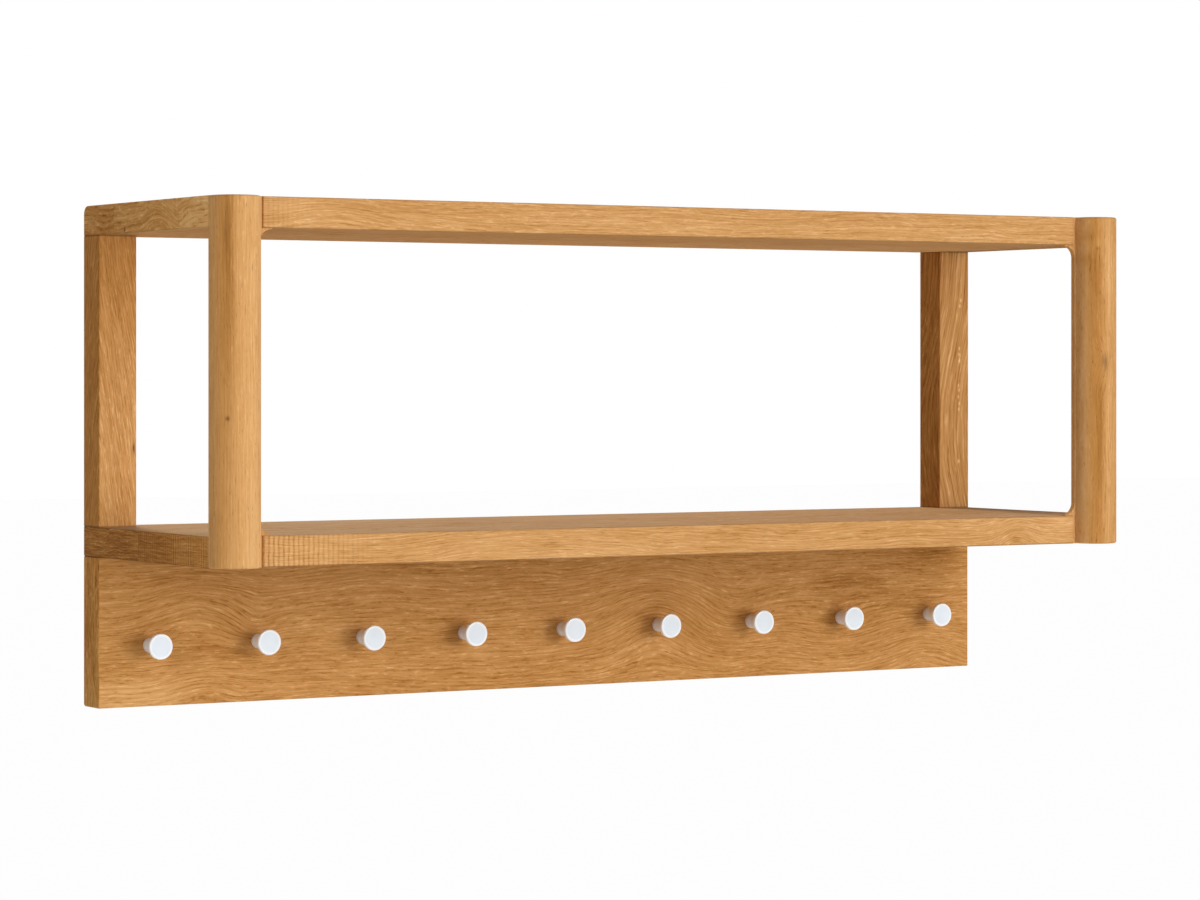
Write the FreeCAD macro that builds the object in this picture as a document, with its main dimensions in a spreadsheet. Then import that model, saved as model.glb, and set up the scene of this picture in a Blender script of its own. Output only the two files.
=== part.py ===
import FreeCAD, Part
import Sketcher
import math
import os

# Wall shelf with a peg rail: two oak boards joined by two uprights at the wall and two
# half-round posts in front, over a peg board with nine turned pegs.
# +X to the right, +Y into the wall, +Z up. The origin lies on the back plane, midway
# between the entry holes of the two keyhole hangers.

SIZES = [
    # Boards and bay
    ("board_length", 1000.0),
    ("board_depth", 275.0),
    ("board_thickness", 28.0),
    ("bay_height", 270.0),
    # Rear uprights
    ("upright_width", 38.0),
    ("upright_depth", 35.0),
    # Peg board
    ("peg_board_height", 140.0),
    ("peg_board_thickness", 34.0),
    # Front posts: a half-round nose on a flat base that is let into the board corners
    ("nose_radius", 23.0),
    ("nose_setback", 2.0),
    ("base_setback", 1.5),
    ("housing_depth", 7.0),
    ("shoulder_width", 3.5),
    ("bay_lip", 1.0),
    ("cove_radius", 12.0),
    ("ear_tip", 0.8),
    ("post_rim_round", 2.2),
    # Eased edges
    ("arris_round", 1.2),
    ("top_rear_round", 8.0),
    ("peg_board_rear_round", 3.0),
    # Turned pegs
    ("peg_end_margin", 52.0),
    ("peg_axis_height", 57.0),
    ("peg_length", 25.0),
    ("stem_radius", 7.25),
    ("stem_length", 10.0),
    ("flare_length", 10.5),
    ("flare_hollow_radius", 30.0),
    ("flare_end_radius", 11.4),
    ("rim_swell_length", 1.6),
    ("head_radius", 12.0),
    ("head_edge_round", 1.1),
    # Screws from the back of the peg board into the pegs
    ("peg_screw_radius", 2.25),
    ("peg_screw_head_radius", 4.25),
    ("peg_screw_head_height", 2.6),
    ("peg_screw_sink", 1.0),
    ("peg_screw_bite", 13.0),
    ("peg_hole_spare", 1.5),
    # Dowels
    ("dowel_radius", 4.0),
    ("dowel_chamfer", 0.8),
    ("dowel_in_board", 14.0),
    ("dowel_in_frame", 24.0),
    ("dowel_in_post", 13.0),
    ("dowel_end_gap", 0.8),
    ("upright_dowel_spread", 18.0),
    ("post_dowel_spread", 19.0),
    ("peg_board_dowel_margin", 80.0),
    # Keyhole hangers in the back of the uprights
    ("hanger_drop", 45.0),
    ("plate_width", 16.0),
    ("plate_thickness", 2.0),
    ("plate_above", 28.0),
    ("plate_below", 17.0),
    ("keyhole_radius", 5.0),
    ("keyhole_slot_radius", 2.5),
    ("keyhole_rise", 13.0),
    ("head_pocket_radius", 5.5),
    ("head_pocket_depth", 10.0),
    ("plate_screw_radius", 1.75),
    ("plate_screw_head_radius", 3.4),
    ("plate_screw_head_height", 1.6),
    ("plate_screw_bite", 14.0),
    ("plate_screw_above", 22.0),
    ("plate_screw_below", 11.0),
    # Cross recess of every screw
    ("recess_half_width", 0.5),
    ("recess_depth", 1.0),
    # Fits and overruns
    ("dowel_clearance", 0.05),
    ("screw_clearance", 0.1),
    ("plate_clearance", 0.15),
    ("overrun", 2.0),
]

PEG_COUNT = 9
PEG_BOARD_DOWEL_COUNT = 6
DOWELS_PER_JOINT = 2
RECESS_REACH_SHARE = 0.6
NEAR = 1e-6
SIDES = (("left", -1), ("right", 1))

doc = FreeCAD.newDocument("WallShelf")
sheet = doc.addObject("Spreadsheet::Sheet", "Sizes")
for row, (alias, number) in enumerate(SIZES, start=1):
    sheet.set(f"A{row}", alias)
    sheet.set(f"B{row}", str(number))
    sheet.setAlias(f"B{row}", alias)
doc.recompute()


class Length:
    """A length that keeps its number and the sheet expression it comes from."""

    def __init__(self, number, text):
        self.number = float(number)
        self.text = text

    @staticmethod
    def of(item):
        return item if isinstance(item, Length) else Length(item, repr(item))

    def __add__(self, other):
        other = Length.of(other)
        return Length(self.number + other.number, f"({self.text} + {other.text})")

    def __sub__(self, other):
        other = Length.of(other)
        return Length(self.number - other.number, f"({self.text} - {other.text})")

    def __mul__(self, factor):
        return Length(self.number * factor, f"({self.text} * {factor!r})")

    __rmul__ = __mul__

    def __truediv__(self, divisor):
        return Length(self.number / divisor, f"({self.text} / {divisor!r})")

    def __neg__(self):
        return self * -1


def size(alias):
    """The named size as a Length."""
    return Length(sheet.get(alias), f"Sizes.{alias}")


ZERO = Length(0.0, "0")
length = size("board_length")
depth = size("board_depth")
thickness = size("board_thickness")
bay = size("bay_height")
rail_height = size("peg_board_height")
rail_thickness = size("peg_board_thickness")
overrun = size("overrun")

# Heights in the part's frame
upright_top = size("hanger_drop")
shelf_top = upright_top - bay
shelf_bottom = shelf_top - thickness
rail_bottom = shelf_bottom - rail_height
post_middle = upright_top - bay / 2

# Plan places
upright_x = (length - size("upright_width")) / 2
upright_middle_y = -(size("upright_depth") / 2)
rail_middle_y = -(rail_thickness / 2)
housing_floor = size("housing_depth") - depth
nose_width = size("nose_radius") * 2
housing_width = nose_width + size("shoulder_width")
bay_side = nose_width + size("bay_lip")
ear_reach = bay_side + size("cove_radius")
dowel_hole = size("dowel_radius") + size("dowel_clearance")
board_hole_depth = size("dowel_in_board") + size("dowel_end_gap")
frame_hole_depth = size("dowel_in_frame") + size("dowel_end_gap")
post_hole_depth = size("dowel_in_post") + size("dowel_end_gap")


def spread(pitch, count):
    """Places of count equally spaced items about zero."""
    return [pitch * (index - (count - 1) / 2) for index in range(count)]


def along_board(margin, count):
    """Places of count equally spaced items, the outer ones a margin from the board's ends."""
    return spread((length - margin * 2) / (count - 1), count)


def new_body(label):
    body = doc.addObject("PartDesign::Body", label)
    body.Label = label
    return body


def place(item, x=ZERO, y=ZERO, z=ZERO, turn=None):
    """Bind the item's place to the sheet; turn is an axis and an angle."""
    turned = FreeCAD.Rotation(*turn) if turn else FreeCAD.Rotation()
    spot = FreeCAD.Vector(x.number, y.number, z.number)
    item.Placement = FreeCAD.Placement(spot, turned)
    for letter, distance in zip("xyz", (x, y, z)):
        item.setExpression(f"Placement.Base.{letter}", distance.text)


def new_sketch(body, name, role, shift=ZERO):
    """A sketch on one of the body's origin planes, shifted along its normal."""
    planes = [one for one in body.Origin.OriginFeatures if one.Role == role]
    sketch = body.newObject("Sketcher::SketchObject", name)
    sketch.AttachmentSupport = (planes[0], [""])
    sketch.MapMode = "FlatFace"
    sketch.setExpression("AttachmentOffset.Base.z", shift.text)
    return sketch


def bind(sketch, kind, *items):
    """Add one driving constraint whose last item is a Length."""
    distance = items[-1]
    index = sketch.addConstraint(Sketcher.Constraint(kind, *items[:-1], distance.number))
    sketch.setExpression(f"Constraints[{index}]", distance.text)


def arc_between(start, end, radius, side):
    """The short arc from start to end; side is +1 where its middle lies left of the way."""
    chord = end - start
    half = chord.Length / 2
    way = chord / chord.Length
    left = FreeCAD.Vector(-way.y, way.x, 0)
    rise = math.sqrt(max(radius * radius - half * half, 0.0))
    centre = (start + end) / 2 - left * (rise * side)
    angles = [math.atan2(point.y - centre.y, point.x - centre.x) for point in (start, end)]
    if side > 0:
        angles.reverse()
    circle = Part.Circle(centre, FreeCAD.Vector(0, 0, 1), radius)
    return Part.ArcOfCircle(circle, *angles), side > 0


def outline(sketch, corners):
    """A closed outline. A corner is (x, y) or (x, y, radius, side) for an arc that follows."""
    points = [FreeCAD.Vector(one[0].number, one[1].number, 0) for one in corners]
    ends = []
    for index, corner in enumerate(corners):
        start = points[index]
        end = points[(index + 1) % len(points)]
        if len(corner) > 2:
            curve, swapped = arc_between(start, end, corner[2].number, corner[3])
        else:
            curve, swapped = Part.LineSegment(start, end), False
        geometry = sketch.addGeometry(curve, False)
        ends.append((geometry, 2, 1) if swapped else (geometry, 1, 2))
    for index, corner in enumerate(corners):
        geometry, first, last = ends[index]
        following, following_first, _ = ends[(index + 1) % len(ends)]
        sketch.addConstraint(
            Sketcher.Constraint("Coincident", geometry, last, following, following_first)
        )
        bind(sketch, "DistanceX", -1, 1, geometry, first, corner[0])
        bind(sketch, "DistanceY", -1, 1, geometry, first, corner[1])
        if len(corner) > 2:
            bind(sketch, "Radius", geometry, corner[2])


def rectangle(sketch, left, bottom, right, top):
    outline(sketch, [(left, bottom), (right, bottom), (right, top), (left, top)])


def ring(sketch, x, y, radius):
    """A circle at x, y."""
    centre = FreeCAD.Vector(x.number, y.number, 0)
    circle = Part.Circle(centre, FreeCAD.Vector(0, 0, 1), radius.number)
    geometry = sketch.addGeometry(circle, False)
    bind(sketch, "DistanceX", -1, 1, geometry, 3, x)
    bind(sketch, "DistanceY", -1, 1, geometry, 3, y)
    bind(sketch, "Radius", geometry, radius)


def stadium(sketch, low, high, radius):
    """A slot outline on x = 0, its end circles centred at the heights low and high."""
    outline(sketch, [
        (radius, low),
        (radius, high, radius, -1),
        (ZERO, high + radius, radius, -1),
        (-radius, high),
        (-radius, low, radius, -1),
        (ZERO, low - radius, radius, -1),
    ])


def pad(body, sketch, name, height, reverse=False):
    """Pad along the sketch normal, or against it."""
    feature = body.newObject("PartDesign::Pad", name)
    feature.Profile = sketch
    feature.Reversed = reverse
    feature.setExpression("Length", height.text)
    doc.recompute()
    return feature


def pocket(body, sketch, name, height=None, reverse=False):
    """Pocket against the sketch normal, or along it; with no height it goes both ways."""
    before = body.Shape.Volume
    feature = body.newObject("PartDesign::Pocket", name)
    feature.Profile = sketch
    if height is None:
        feature.Type = "ThroughAll"
        feature.SideType = "Symmetric"
    else:
        feature.Reversed = reverse
        feature.setExpression("Length", height.text)
    doc.recompute()
    if not body.Shape.Volume < before:
        raise RuntimeError(f"{body.Label}: {name} removes nothing")
    return feature


def revolve(body, sketch, name):
    """A full turn of the profile about the sketch's own upright axis."""
    feature = body.newObject("PartDesign::Revolution", name)
    feature.Profile = sketch
    feature.ReferenceAxis = (sketch, ["V_Axis"])
    feature.Angle = 360.0
    doc.recompute()
    return feature


def ease(body, name, radius, wanted):
    """Round the edges of the body for which wanted(edge) is true."""
    doc.recompute()
    base = body.Tip
    names = [
        f"Edge{index}"
        for index, edge in enumerate(base.Shape.Edges, start=1)
        if wanted(edge)
    ]
    feature = body.newObject("PartDesign::Fillet", name)
    feature.Base = (base, names)
    feature.setExpression("Radius", radius.text)
    doc.recompute()
    return feature


def middle(edge):
    """The point halfway along an edge."""
    return edge.valueAt((edge.FirstParameter + edge.LastParameter) / 2)


def runs_along(edge, axis):
    """True where a straight edge follows the axis numbered 0, 1 or 2."""
    ends = edge.Vertexes
    if len(ends) < 2 or edge.Curve.TypeId != "Part::GeomLine":
        return False
    step = ends[1].Point - ends[0].Point
    return math.isclose(abs(step[axis]), step.Length, rel_tol=NEAR)


def near(first, second):
    """True where two coordinates are equal within the model's tolerance."""
    return math.isclose(first, second, abs_tol=NEAR * length.number)


# Boards
def board_outline(body):
    """Plan of a board: a rectangle with a shallow housing at each front corner."""
    end = length / 2
    inner = end - housing_width
    plan = new_sketch(body, "Plan", "XY_Plane")
    outline(plan, [
        (end, ZERO),
        (-end, ZERO),
        (-end, housing_floor),
        (-inner, housing_floor),
        (-inner, -depth),
        (inner, -depth),
        (inner, housing_floor),
        (end, housing_floor),
    ])
    pad(body, plan, "Board", thickness)


def post_dowel_places():
    """Distances of the post dowels from the board's end."""
    return [size("nose_radius") + one for one in spread(size("post_dowel_spread"), DOWELS_PER_JOINT)]


def drill_post_holes(body):
    """Dowel holes in the floor of both housings, at half the board's thickness."""
    holes = new_sketch(body, "PostHoles", "XZ_Plane", -housing_floor)
    for _, sign in SIDES:
        for distance in post_dowel_places():
            ring(holes, (length / 2 - distance) * sign, thickness / 2, dowel_hole)
    pocket(body, holes, "PostHolePocket", board_hole_depth)


def drill_upright_holes(body, face, reverse):
    """Dowel holes for both uprights, bored into the face at this height."""
    holes = new_sketch(body, "UprightHoles", "XY_Plane", face)
    for _, sign in SIDES:
        for offset in spread(size("upright_dowel_spread"), DOWELS_PER_JOINT):
            ring(holes, upright_x * sign + offset, upright_middle_y, dowel_hole)
    pocket(body, holes, "UprightHolePocket", board_hole_depth, reverse)


def board_arrises(rear_top_round):
    """Chooser for the exposed long and end edges of a board."""
    end = length.number / 2
    inner = end - housing_width.number
    floor = housing_floor.number

    def wanted(edge):
        spot = middle(edge)
        flat = near(spot.z, 0) or near(spot.z, thickness.number)
        rear = near(spot.y, 0)
        front = near(spot.y, -depth.number)
        at_end = near(abs(spot.x), end)
        if runs_along(edge, 0):
            return flat and (front or (rear and not (rear_top_round and spot.z > 0)))
        if runs_along(edge, 1):
            return flat and at_end
        if runs_along(edge, 2):
            return (front and near(abs(spot.x), inner)) or (rear and at_end)
        return False

    return wanted


def rear_top_edge(edge):
    spot = middle(edge)
    return runs_along(edge, 0) and near(spot.y, 0) and near(spot.z, thickness.number)


top_board = new_body("top_board")
board_outline(top_board)
ease(top_board, "RearTopRound", size("top_rear_round"), rear_top_edge)
ease(top_board, "Arrises", size("arris_round"), board_arrises(True))
drill_upright_holes(top_board, ZERO, True)
drill_post_holes(top_board)
place(top_board, z=upright_top)

lower_shelf = new_body("lower_shelf")
board_outline(lower_shelf)
ease(lower_shelf, "Arrises", size("arris_round"), board_arrises(False))
drill_upright_holes(lower_shelf, thickness, False)
drill_post_holes(lower_shelf)
rail_holes = new_sketch(lower_shelf, "RailHoles", "XY_Plane")
rail_dowel_places = along_board(size("peg_board_dowel_margin"), PEG_BOARD_DOWEL_COUNT)
for x in rail_dowel_places:
    ring(rail_holes, x, rail_middle_y, dowel_hole)
pocket(lower_shelf, rail_holes, "RailHolePocket", board_hole_depth, True)
place(lower_shelf, z=shelf_bottom)


# Rear uprights with their keyhole housings
def upright(label, sign):
    body = new_body(label)
    half = size("upright_width") / 2
    section = new_sketch(body, "Section", "XY_Plane")
    rectangle(section, -half, -size("upright_depth"), half, ZERO)
    pad(body, section, "Upright", bay)
    ease(body, "Arrises", size("arris_round"), lambda edge: runs_along(edge, 2))
    for name, face, reverse in (("Foot", ZERO, True), ("Head", bay, False)):
        holes = new_sketch(body, f"{name}Holes", "XY_Plane", face)
        for offset in spread(size("upright_dowel_spread"), DOWELS_PER_JOINT):
            ring(holes, offset, upright_middle_y, dowel_hole)
        pocket(body, holes, f"{name}HolePocket", frame_hole_depth, reverse)
    entry = bay - size("hanger_drop")
    cap = size("plate_width") / 2
    housing = new_sketch(body, "PlateHousing", "XZ_Plane")
    stadium(
        housing,
        entry - size("plate_below") + cap,
        entry + size("plate_above") - cap,
        cap + size("plate_clearance"),
    )
    pocket(body, housing, "PlateHousingPocket", size("plate_thickness"), True)
    head_room = new_sketch(body, "HeadRoom", "XZ_Plane", size("plate_thickness"))
    stadium(head_room, entry, entry + size("keyhole_rise"), size("head_pocket_radius"))
    pocket(body, head_room, "HeadRoomPocket", size("head_pocket_depth"), True)
    bores = new_sketch(body, "PlateScrewBores", "XZ_Plane", size("plate_thickness"))
    for height in (size("plate_screw_above"), -size("plate_screw_below")):
        bore = size("plate_screw_radius") + size("screw_clearance")
        ring(bores, ZERO, entry + height, bore)
    pocket(body, bores, "PlateScrewBorePocket", size("plate_screw_bite") + overrun, True)
    place(body, x=upright_x * sign, z=shelf_top)
    return body


uprights = [upright(f"rear_upright_{side}", sign) for side, sign in SIDES]


# Front posts
def front_post(label, sign):
    """Half-round post about its middle height, from the outer side inwards along +X."""
    body = new_body(label)
    radius = size("nose_radius")
    setback = size("nose_setback")
    half_height = bay / 2 + thickness
    back = size("housing_depth")
    base = new_sketch(body, "Base", "XY_Plane", -half_height)
    rectangle(base, radius, size("base_setback"), ear_reach, back)
    pad(body, base, "BasePad", half_height * 2)
    nose = new_sketch(body, "Nose", "XY_Plane", -half_height)
    outline(nose, [
        (ZERO, back),
        (ZERO, setback, radius, -1),
        (radius, setback - radius, radius, -1),
        (nose_width, setback),
        (nose_width, back),
    ])
    pad(body, nose, "NosePad", half_height * 2)
    cuts = new_sketch(body, "BayAndShoulders", "XZ_Plane")
    far = ear_reach + overrun
    cove = size("cove_radius")
    crown = bay / 2 - size("ear_tip")
    straight = crown - cove
    outline(cuts, [
        (far, -crown),
        (far, crown),
        (ear_reach, crown, cove, -1),
        (bay_side, straight),
        (bay_side, -straight, cove, -1),
        (ear_reach, -crown),
    ])
    rectangle(cuts, housing_width, bay / 2, far, half_height + overrun)
    rectangle(cuts, housing_width, -(half_height + overrun), far, -(bay / 2))
    pocket(body, cuts, "BayAndShoulderPocket")
    ease(body, "Rims", size("post_rim_round"), lambda edge: is_rim(edge, half_height))
    holes = new_sketch(body, "DowelHoles", "XZ_Plane", -back)
    for height in ((bay + thickness) / 2, -((bay + thickness) / 2)):
        for distance in post_dowel_places():
            ring(holes, distance, height, dowel_hole)
    pocket(body, holes, "DowelHolePocket", post_hole_depth, True)
    turn = (FreeCAD.Vector(0, 1, 0), 180) if sign > 0 else None
    place(body, length / 2 * sign, -depth, post_middle, turn)
    return body


def is_rim(edge, half_height):
    """True for the curved edges of the nose at the top and the bottom of the post."""
    curved = edge.Curve.TypeId == "Part::GeomCircle"
    return curved and near(abs(middle(edge).z), half_height.number)


posts = [front_post(f"front_post_{side}", sign) for side, sign in SIDES]

# Peg board
peg_board = new_body("peg_board")
front_view = new_sketch(peg_board, "FrontView", "XZ_Plane")
rectangle(front_view, -(length / 2), ZERO, length / 2, rail_height)
pad(peg_board, front_view, "Board", rail_thickness)


def rail_rear_foot(edge):
    spot = middle(edge)
    return runs_along(edge, 0) and near(spot.y, 0) and near(spot.z, 0)


ease(peg_board, "RearFootRound", size("peg_board_rear_round"), rail_rear_foot)


def rail_arris(edge):
    """Front edges, end edges and the rear top edge."""
    spot = middle(edge)
    if runs_along(edge, 0):
        front = near(spot.y, -rail_thickness.number)
        return front or (near(spot.y, 0) and near(spot.z, rail_height.number))
    return runs_along(edge, 1) or runs_along(edge, 2)


ease(peg_board, "Arrises", size("arris_round"), rail_arris)
peg_places = along_board(size("peg_end_margin"), PEG_COUNT)
peg_bore = size("peg_screw_radius") + size("screw_clearance")
sink = size("peg_screw_sink")
shanks = new_sketch(peg_board, "ScrewHoles", "XZ_Plane")
for x in peg_places:
    ring(shanks, x, size("peg_axis_height"), peg_bore)
pocket(peg_board, shanks, "ScrewHolePocket")
head_bore = size("peg_screw_head_radius") + size("screw_clearance")
for index, x in enumerate(peg_places, start=1):
    cone = new_sketch(peg_board, f"Countersink{index}", "XY_Plane", size("peg_axis_height"))
    low = -(sink + size("peg_screw_head_height"))
    outline(cone, [
        (x, overrun),
        (x, low),
        (x + peg_bore, low),
        (x + head_bore, -sink),
        (x + head_bore, overrun),
    ])
    groove = peg_board.newObject("PartDesign::Groove", f"CountersinkGroove{index}")
    groove.Profile = cone
    groove.ReferenceAxis = (cone, ["Edge1"])
    groove.Angle = 360.0
    doc.recompute()
tops = new_sketch(peg_board, "TopHoles", "XY_Plane", rail_height)
for x in rail_dowel_places:
    ring(tops, x, rail_middle_y, dowel_hole)
pocket(peg_board, tops, "TopHolePocket", frame_hole_depth)
place(peg_board, z=rail_bottom)


# Turned pieces lie along -Y from y = 0
def turned(label, corners):
    body = new_body(label)
    profile = new_sketch(body, "Profile", "XY_Plane")
    outline(profile, corners)
    revolve(body, profile, "Turning")
    return body


def peg(index, x):
    """Thin stem, hollow flare, short swelling rim and a flat face with an eased edge."""
    stem = size("stem_radius")
    flare_start = -size("stem_length")
    flare_end = flare_start - size("flare_length")
    rim = flare_end - size("rim_swell_length")
    face = -size("peg_length")
    edge = size("head_edge_round")
    hole_end = -(size("peg_screw_bite") + size("peg_hole_spare"))
    body = turned(f"peg_{index}", [
        (peg_bore, ZERO),
        (stem, ZERO),
        (stem, flare_start, size("flare_hollow_radius"), -1),
        (size("flare_end_radius"), flare_end),
        (size("head_radius"), rim),
        (size("head_radius"), face + edge, edge, -1),
        (size("head_radius") - edge, face),
        (ZERO, face),
        (ZERO, hole_end),
        (peg_bore, hole_end),
    ])
    place(body, x, -rail_thickness, size("peg_axis_height") + rail_bottom)
    return body


pegs = [peg(index, x) for index, x in enumerate(peg_places, start=1)]


def screw(label, shank, head, head_height, reach, x, y, z):
    """Countersunk screw with a cross recess, its head face at y."""
    point = shank * 2
    body = turned(label, [
        (ZERO, ZERO),
        (head, ZERO),
        (shank, -head_height),
        (shank, point - reach),
        (ZERO, -reach),
    ])
    recess = new_sketch(body, "Recess", "XZ_Plane")
    half = size("recess_half_width")
    tip = head * RECESS_REACH_SHARE
    outline(recess, [
        (half, -tip), (half, -half), (tip, -half), (tip, half), (half, half), (half, tip),
        (-half, tip), (-half, half), (-tip, half), (-tip, -half), (-half, -half), (-half, -tip),
    ])
    pocket(body, recess, "RecessPocket", size("recess_depth"), True)
    place(body, x, y, z)
    return body


def dowel(label, first, second, x, y, z, upright_axis):
    """Chamfered dowel whose joint lies at x, y, z; first reaches down or to -Y."""
    radius = size("dowel_radius")
    chamfer = size("dowel_chamfer")
    body = turned(label, [
        (ZERO, -first),
        (radius - chamfer, -first),
        (radius, chamfer - first),
        (radius, second - chamfer),
        (radius - chamfer, second),
        (ZERO, second),
    ])
    turn = (FreeCAD.Vector(1, 0, 0), 90) if upright_axis else None
    place(body, x, y, z, turn)
    return body


def group(label, members):
    """One sub-part made of separate like pieces."""
    item = doc.addObject("Part::Compound", label)
    item.Label = label
    item.Links = members
    return item


in_board = size("dowel_in_board")
in_frame = size("dowel_in_frame")
in_post = size("dowel_in_post")
upright_dowels = []
for side, sign in SIDES:
    for offset in spread(size("upright_dowel_spread"), DOWELS_PER_JOINT):
        x = upright_x * sign + offset
        for joint, first, second in ((shelf_top, in_board, in_frame),
                                     (upright_top, in_frame, in_board)):
            label = f"upright_dowel_{len(upright_dowels) + 1}"
            upright_dowels.append(
                dowel(label, first, second, x, upright_middle_y, joint, True)
            )

rail_dowels = [
    dowel(f"rail_dowel_{index}", in_frame, in_board, x, rail_middle_y, shelf_bottom, True)
    for index, x in enumerate(rail_dowel_places, start=1)
]

post_dowels = []
for side, sign in SIDES:
    for distance in post_dowel_places():
        x = (length / 2 - distance) * sign
        for height in (upright_top + thickness / 2, shelf_top - thickness / 2):
            label = f"post_dowel_{len(post_dowels) + 1}"
            post_dowels.append(
                dowel(label, in_post, in_board, x, housing_floor, height, False)
            )

peg_screws = [
    screw(
        f"peg_screw_{index}",
        size("peg_screw_radius"),
        size("peg_screw_head_radius"),
        size("peg_screw_head_height"),
        rail_thickness - sink + size("peg_screw_bite"),
        x,
        -sink,
        size("peg_axis_height") + rail_bottom,
    )
    for index, x in enumerate(peg_places, start=1)
]


# Keyhole hangers
def hanger_plate(label, sign):
    """Round-ended plate with a keyhole and two countersunk holes, its back at y = 0."""
    body = new_body(label)
    cap = size("plate_width") / 2
    shape = new_sketch(body, "Plate", "XZ_Plane")
    stadium(shape, cap - size("plate_below"), size("plate_above") - cap, cap)
    pad(body, shape, "PlatePad", size("plate_thickness"))
    entry = new_sketch(body, "Entry", "XZ_Plane")
    ring(entry, ZERO, ZERO, size("keyhole_radius"))
    pocket(body, entry, "EntryPocket")
    slot = new_sketch(body, "Slot", "XZ_Plane")
    stadium(slot, ZERO, size("keyhole_rise"), size("keyhole_slot_radius"))
    pocket(body, slot, "SlotPocket")
    bore = size("plate_screw_radius") + size("screw_clearance")
    mouth = size("plate_screw_head_radius") + size("screw_clearance")
    for name, height in (("High", size("plate_screw_above")),
                         ("Low", -size("plate_screw_below"))):
        cone = new_sketch(body, f"{name}Countersink", "XY_Plane", height)
        outline(cone, [
            (ZERO, overrun),
            (ZERO, -(size("plate_thickness") + overrun)),
            (bore, -(size("plate_thickness") + overrun)),
            (bore, -size("plate_screw_head_height")),
            (mouth, ZERO),
            (mouth, overrun),
        ])
        groove = body.newObject("PartDesign::Groove", f"{name}Groove")
        groove.Profile = cone
        groove.ReferenceAxis = (cone, ["V_Axis"])
        groove.Angle = 360.0
        doc.recompute()
    place(body, x=upright_x * sign)
    return body


plates = [hanger_plate(f"hanger_plate_{side}", sign) for side, sign in SIDES]

plate_screws = []
for side, sign in SIDES:
    for height in (size("plate_screw_above"), -size("plate_screw_below")):
        plate_screws.append(screw(
            f"plate_screw_{len(plate_screws) + 1}",
            size("plate_screw_radius"),
            size("plate_screw_head_radius"),
            size("plate_screw_head_height"),
            size("plate_thickness") + size("plate_screw_bite"),
            upright_x * sign,
            ZERO,
            height,
        ))

subparts = [top_board, lower_shelf, *uprights, *posts, peg_board, *pegs, *plates]
subparts += [
    group("upright_dowels", upright_dowels),
    group("peg_board_dowels", rail_dowels),
    group("post_dowels", post_dowels),
    group("peg_screws", peg_screws),
    group("hanger_screws", plate_screws),
]
doc.recompute()

# Every object must have built and every piece must be a valid solid
failed = [
    item.Label
    for item in doc.Objects
    if "Invalid" in item.State or "Error" in item.State
]
failed += [
    item.Label
    for item in subparts
    if item.Shape.isNull() or not item.Shape.isValid() or not item.Shape.Solids
]
if failed:
    raise RuntimeError("not built: " + ", ".join(failed))

os.makedirs("parts", exist_ok=True)
for item in subparts:
    item.Shape.exportStep(f"parts/{item.Label}.step")
    print(f"{item.Label}: {len(item.Shape.Solids)} solid(s), {item.Shape.Volume:.1f} mm3")
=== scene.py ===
"""Looks of an oak wall shelf with a peg rail, laid over its solid frame.

Two full-depth oak boards are joined by uprights at the wall and by half-round posts in
front. A peg board with nine white turned pegs hangs below the shelf. Places are in the
part's own frame: +X to the right, +Y into the wall, +Z up. Meshes and the studio are in
metres, finishes and their regions in millimetres.
"""

import logging
import math
from dataclasses import dataclass
from enum import Enum, IntEnum
from typing import Any, Dict, List, Optional, Sequence, Tuple, Union

import bpy
import numpy as np
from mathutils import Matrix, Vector


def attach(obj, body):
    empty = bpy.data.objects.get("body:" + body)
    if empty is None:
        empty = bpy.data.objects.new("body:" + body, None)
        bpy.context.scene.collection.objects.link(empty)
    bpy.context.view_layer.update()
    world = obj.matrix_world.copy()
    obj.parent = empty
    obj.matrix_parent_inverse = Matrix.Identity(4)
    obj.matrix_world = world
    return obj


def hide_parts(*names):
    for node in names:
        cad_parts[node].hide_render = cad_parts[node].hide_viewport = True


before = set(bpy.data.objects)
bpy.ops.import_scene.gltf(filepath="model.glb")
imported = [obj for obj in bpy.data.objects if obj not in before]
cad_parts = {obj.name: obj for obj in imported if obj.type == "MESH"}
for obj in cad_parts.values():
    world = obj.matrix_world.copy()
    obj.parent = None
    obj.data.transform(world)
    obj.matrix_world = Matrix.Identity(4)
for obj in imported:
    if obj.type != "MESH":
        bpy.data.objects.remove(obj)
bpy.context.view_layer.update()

Number = Union["Value", float]
Pair = Tuple[float, float]
Triple = Tuple[float, float, float]
Colour = Tuple[float, float, float]
Stops = Sequence[Tuple[float, Colour]]
Settings = Dict[str, Any]
Inputs = Dict[Any, Any]
Faces = List[Tuple[int, ...]]
Material = bpy.types.Material
Socket = bpy.types.NodeSocket

LOG = logging.getLogger("wall_shelf")
PREFIX = "ShaderNode"
MM = 0.001
FULL_TURN = 2.0 * math.pi


def linear(red: int, green: int, blue: int) -> Colour:
    """Turn a colour written as 0 to 255 into the light values that shaders use.

    Args:
        red: Red, 0 to 255.
        green: Green, 0 to 255.
        blue: Blue, 0 to 255.

    Returns:
        The three linear values.
    """

    def channel(level: int) -> float:
        """One channel by the usual two-part curve."""
        share = level / 255.0
        return share / 12.92 if share <= 0.04045 else ((share + 0.055) / 1.055) ** 2.4

    return channel(red), channel(green), channel(blue)


# Shaders


@dataclass(frozen=True)
class Layer:
    """One layer of smooth noise.

    Args:
        sizes: Size of its features along each coordinate; one leaves that one as it is.
        detail: How many finer layers are added.
        roughness: How strong the finer layers are.
        level: The third coordinate, where only two vary.
    """

    sizes: Tuple[float, ...]
    detail: float = 2.0
    roughness: float = 0.5
    level: float = 0.0


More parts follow.
